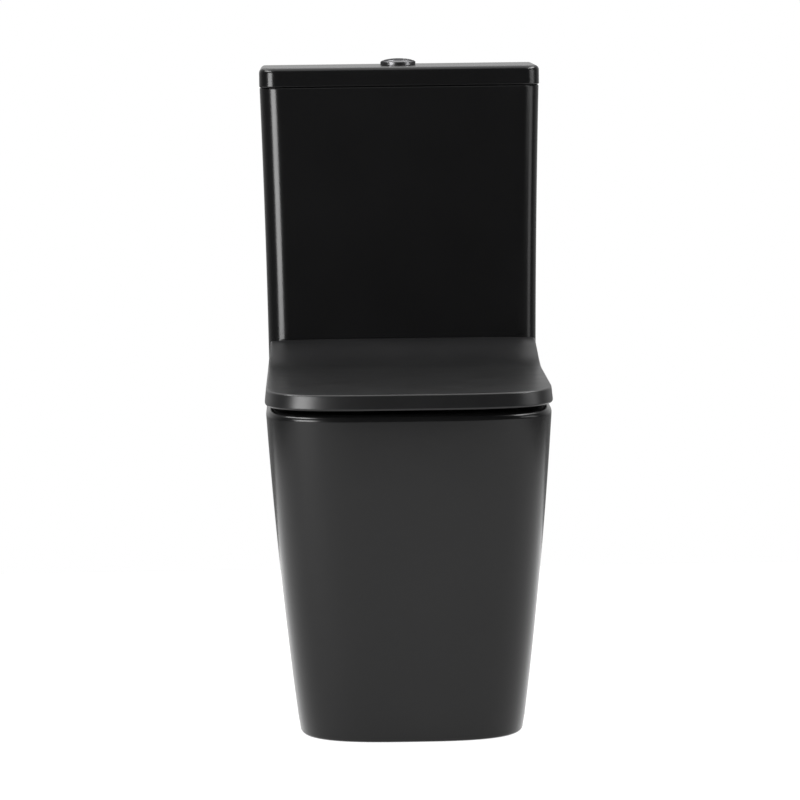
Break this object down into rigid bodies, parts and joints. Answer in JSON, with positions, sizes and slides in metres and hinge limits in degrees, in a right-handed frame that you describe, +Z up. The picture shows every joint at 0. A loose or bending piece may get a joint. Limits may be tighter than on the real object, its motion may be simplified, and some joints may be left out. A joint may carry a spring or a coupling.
{
  "type": "close coupled toilet",
  "caption": "Back-to-wall close coupled toilet with a wrap-over hinged seat, square cistern, dual push button, flush valve and float fill valve.",
  "frame": {"origin": "on the floor, at the centre of the bounding box in plan", "axes": "+Z up, the front of the pan faces -Y and its flat back faces the wall at +Y, +X to the right seen from the front"},
  "size_m": [0.355, 0.62, 0.8036],
  "materials": {
    "black_ceramic": "satin",
    "black_seat": "satin",
    "chrome": "polished",
    "stainless": "brushed",
    "black_rubber": "matte",
    "white_plastic": "matte",
    "blue_plastic": "matte",
    "grey_plastic": "matte"
  },
  "bodies": {
    "root": {"pan": "black_ceramic", "cistern": "black_ceramic", "cistern_lid": "black_ceramic", "floor_bracket_left": "white_plastic", "floor_bracket_right": "white_plastic", "side_screw_left": "stainless", "side_screw_right": "stainless", "screw_cap_left": "black_seat", "screw_cap_right": "black_seat", "hinge_post_left": "chrome", "hinge_post_right": "chrome", "hinge_bolt_left": "stainless", "hinge_bolt_right": "stainless", "hinge_washer_left": "black_rubber", "hinge_washer_right": "black_rubber", "hinge_wing_nut_left": "white_plastic", "hinge_wing_nut_right": "white_plastic", "bolt_seal_left": "black_rubber", "bolt_seal_right": "black_rubber", "cistern_bolt_left": "stainless", "cistern_bolt_right": "stainless", "bolt_pad_left": "black_rubber", "bolt_pad_right": "black_rubber", "bolt_wing_nut_left": "stainless", "bolt_wing_nut_right": "stainless", "valve_base": "white_plastic", "valve_back_nut": "white_plastic", "coupling_gasket": "black_rubber", "valve_tower": "blue_plastic", "rocker_pin": "stainless", "button_collar": "chrome", "button_lock_nut": "white_plastic", "fill_valve_shank": "white_plastic", "shank_washer": "black_rubber", "shank_lock_nut": "white_plastic", "fill_valve_head": "grey_plastic", "fill_valve_pin": "stainless", "inlet_plug": "white_plastic", "plug_nut": "white_plastic"},
    "seat_ring": {"seat_ring": "black_seat", "ring_buffer_front_left": "black_rubber", "ring_buffer_front_right": "black_rubber", "ring_buffer_rear_left": "black_rubber", "ring_buffer_rear_right": "black_rubber", "hinge_pin_left": "stainless", "hinge_pin_right": "stainless"},
    "seat_lid": {"seat_lid": "black_seat", "lid_buffer_left": "black_rubber", "lid_buffer_right": "black_rubber"},
    "full_button": {"full_flush_button": "chrome", "full_flush_rod": "white_plastic"},
    "half_button": {"half_flush_button": "chrome", "half_flush_rod": "white_plastic"},
    "flush_rocker": {"flush_rocker": "grey_plastic"},
    "overflow": {"overflow_tube": "white_plastic", "valve_seal": "black_rubber"},
    "float": {"float_cup": "grey_plastic", "float_link": "stainless"},
    "fill_lever": {"fill_valve_lever": "blue_plastic"}
  },
  "joints": [
    {"name": "ring_hinge", "type": "hinge", "parent": "root", "child": "seat_ring", "pos_m": [0, 0.096, 0.433], "axis": [1, 0, 0], "range_deg": [-95, 0]},
    {"name": "lid_hinge", "type": "hinge", "parent": "seat_ring", "child": "seat_lid", "pos_m": [0, 0.096, 0.433], "axis": [-1, 0, 0], "range_deg": [0, 95]},
    {"name": "full_flush_press", "type": "slide", "parent": "root", "child": "full_button", "axis": [0, 0, -1], "range_m": [0, 0.005], "stiffness_N_per_m": 500, "springref_m": -0.003},
    {"name": "half_flush_press", "type": "slide", "parent": "root", "child": "half_button", "axis": [0, 0, -1], "range_m": [0, 0.005], "stiffness_N_per_m": 500, "springref_m": -0.003},
    {"name": "rocker_turn", "type": "hinge", "parent": "root", "child": "flush_rocker", "pos_m": [0.004, 0.214, 0.683], "axis": [0, -1, 0], "range_deg": [0, 24]},
    {"name": "valve_lift", "type": "slide", "parent": "root", "child": "overflow", "axis": [0, 0, 1], "range_m": [0, 0.01]},
    {"name": "float_rise", "type": "slide", "parent": "root", "child": "float", "axis": [0, 0, 1], "range_m": [0, 0.018]},
    {"name": "lever_turn", "type": "hinge", "parent": "root", "child": "fill_lever", "pos_m": [0.131, 0.22, 0.646], "axis": [0, 1, 0], "range_deg": [0, 33]}
  ],
  "couplings": [
    {"joint": "rocker_turn", "follows": "full_flush_press", "rad_per_m": 83.333},
    {"joint": "valve_lift", "follows": "full_flush_press", "ratio": 2},
    {"joint": "lever_turn", "follows": "float_rise", "rad_per_m": 31.25}
  ]
}
